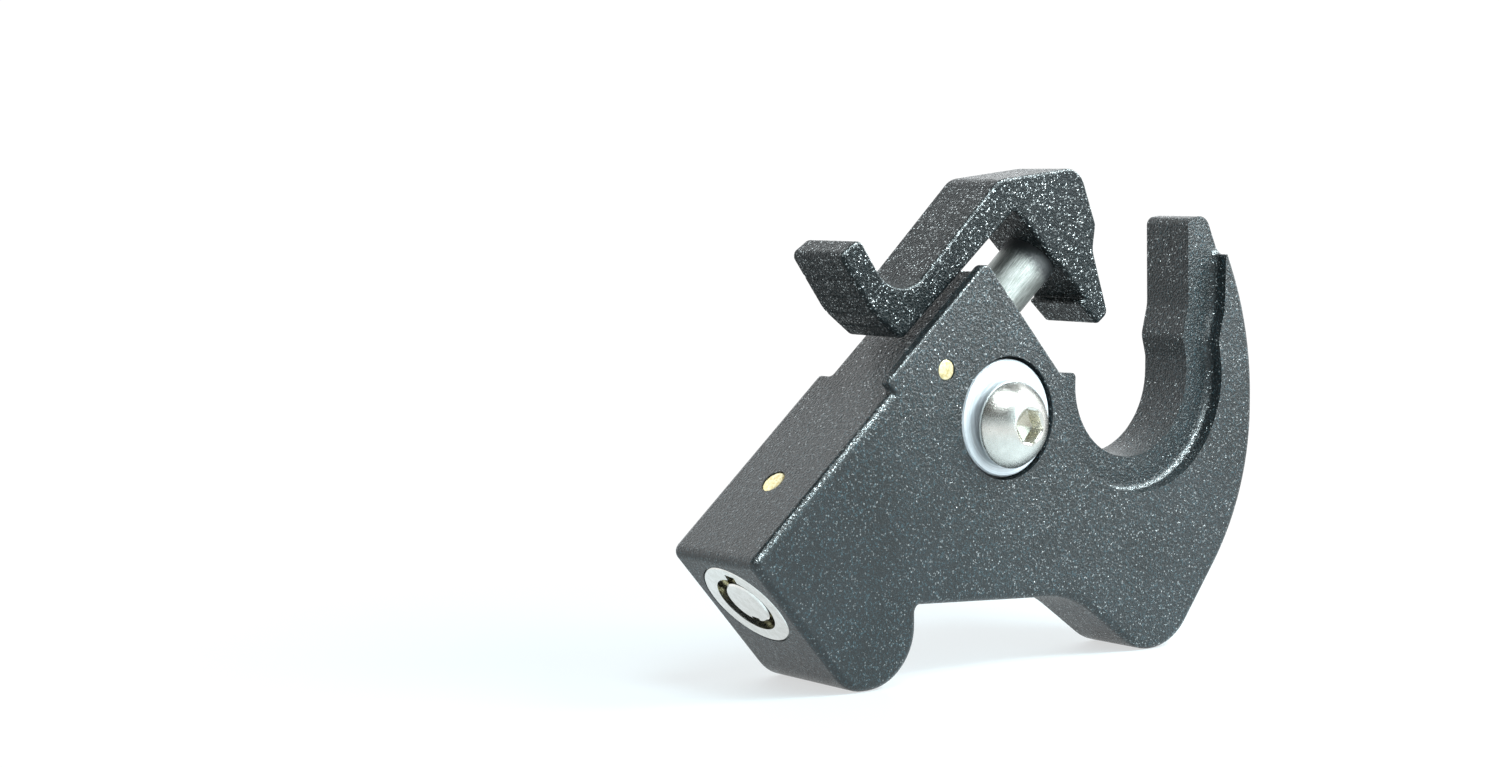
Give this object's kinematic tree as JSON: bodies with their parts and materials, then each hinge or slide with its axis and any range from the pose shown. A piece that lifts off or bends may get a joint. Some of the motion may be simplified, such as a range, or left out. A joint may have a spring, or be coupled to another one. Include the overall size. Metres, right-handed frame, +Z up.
{
  "type": "locking docking latch",
  "caption": "Black cast hook latch for a detachable motorcycle rack: an open hook drops over a docking post, a sprung lever closes it and a tubular lock blocks the lever.",
  "frame": {"origin": "on the pivot bolt's axis, in the rear mounting face (the back of the rear bush flange)", "axes": "+X towards the hook, +Y out of the mounting face along the pivot bolt towards the rack, +Z up"},
  "size_m": [0.1083, 0.0345, 0.0805],
  "materials": {
    "black_powder_coat": "fine sandy black powder coat",
    "stainless_steel": "satin turned stainless",
    "zinc_steel": "bright zinc plate",
    "spring_steel": "oiled spring steel",
    "rod_steel": "ground steel",
    "bright_nickel": "bright nickel plate",
    "brass": "drawn brass",
    "bearing_bronze": "oiled sintered bronze",
    "nylon": "moulded nylon"
  },
  "bodies": {
    "casting": {"body_casting": "black_powder_coat", "lock_housing": "bright_nickel", "lock_stator": "brass", "lock_retaining_pin": "brass", "rod_stop_pin": "brass", "rod_guide_bush": "bearing_bronze", "spring_seat": "zinc_steel", "return_spring": "spring_steel", "driver_springs": "spring_steel", "outer_washer": "zinc_steel"},
    "latch": {"latch_lever": "black_powder_coat", "latch_rod": "rod_steel", "rod_keeper": "spring_steel", "spring_collar": "spring_steel"},
    "lock_core": {"lock_spindle": "bright_nickel", "lock_plug": "brass", "lock_tail": "spring_steel", "spindle_clip": "spring_steel"},
    "key_pins": {"key_pins": "brass"},
    "driver_pins": {"driver_pins": "brass"},
    "pivot": {"mounting_bolt": "stainless_steel", "wave_washer": "spring_steel", "outer_bush": "nylon", "rear_bush": "nylon"}
  },
  "joints": [
    {"name": "lever_slide", "type": "slide", "parent": "casting", "child": "latch", "axis": [-0.749, 0, -0.6626], "range_m": [0, 0.0115], "stiffness_N_per_m": 700, "springref_m": -0.01, "deforming": ["return_spring"]},
    {"name": "lock_turn", "type": "hinge", "parent": "casting", "child": "lock_core", "pos_m": [-0.0445, -0.0078, -0.02605], "axis": [0.749, 0, 0.6626], "range_deg": [0, 90]},
    {"name": "key_pins_push", "type": "slide", "parent": "lock_core", "child": "key_pins", "axis": [0.749, 0, 0.6626], "range_m": [0, 0.0015], "stiffness_N_per_m": 15, "springref_m": -0.001},
    {"name": "driver_pins_push", "type": "slide", "parent": "casting", "child": "driver_pins", "axis": [0.749, 0, 0.6626], "range_m": [0, 0.0015], "deforming": ["driver_springs"]},
    {"name": "pivot_swing", "type": "hinge", "parent": "casting", "child": "pivot", "pos_m": [0, 0, 0], "axis": [0, 1, 0], "continuous": true}
  ],
  "couplings": [
    {"joint": "driver_pins_push", "follows": "key_pins_push", "ratio": 1}
  ]
}
